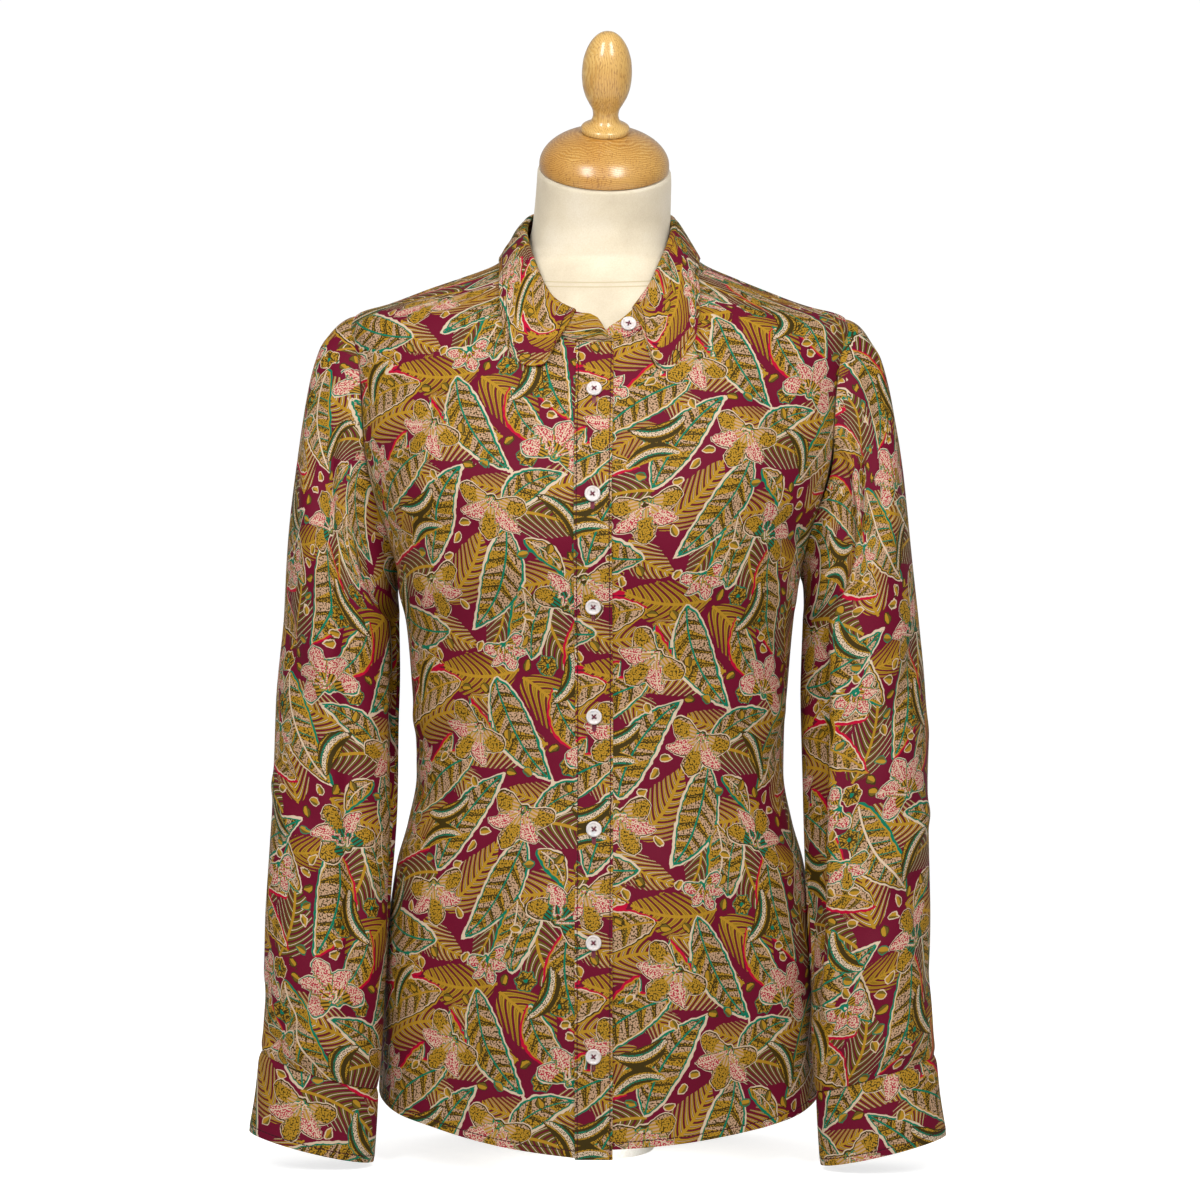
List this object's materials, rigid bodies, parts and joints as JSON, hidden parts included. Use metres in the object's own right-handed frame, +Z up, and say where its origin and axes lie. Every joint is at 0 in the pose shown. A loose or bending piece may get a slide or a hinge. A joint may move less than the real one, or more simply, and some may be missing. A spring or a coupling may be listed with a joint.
{
  "type": "printed shirt on dress form",
  "caption": "Fitted long-sleeved button-front shirt in a leaf and flower print, worn on a limbless dress form with a turned wooden neck cap.",
  "frame": {"origin": "middle of the area the form stands on, on the foot's flat underside", "axes": "+Z up, -Y is the front of the shirt, -X is the wearer's right"},
  "size_m": [0.51, 0.2653, 0.8293],
  "materials": {
    "printed_cotton": "plain-woven printed cotton, matt",
    "pearl_buttons": "pearly polyester, polished",
    "form_jersey": "cream knitted jersey, matt",
    "varnished_beech": "turned beech, honey stain, gloss varnish"
  },
  "bodies": {
    "root": {"front_right": "printed_cotton", "front_left": "printed_cotton", "sleeve_right": "printed_cotton", "sleeve_left": "printed_cotton", "cuff_right": "printed_cotton", "cuff_left": "printed_cotton", "back": "printed_cotton", "yoke": "printed_cotton", "placket": "printed_cotton", "collar_stand": "printed_cotton", "collar_leaf": "printed_cotton", "button_1": "pearl_buttons", "button_2": "pearl_buttons", "button_3": "pearl_buttons", "button_4": "pearl_buttons", "button_5": "pearl_buttons", "button_6": "pearl_buttons", "button_7": "pearl_buttons", "button_collar": "pearl_buttons", "button_cuff_right": "pearl_buttons", "button_cuff_left": "pearl_buttons", "form_body": "form_jersey", "form_foot": "form_jersey", "neck_cap": "varnished_beech", "finial": "varnished_beech"}
  },
  "joints": []
}
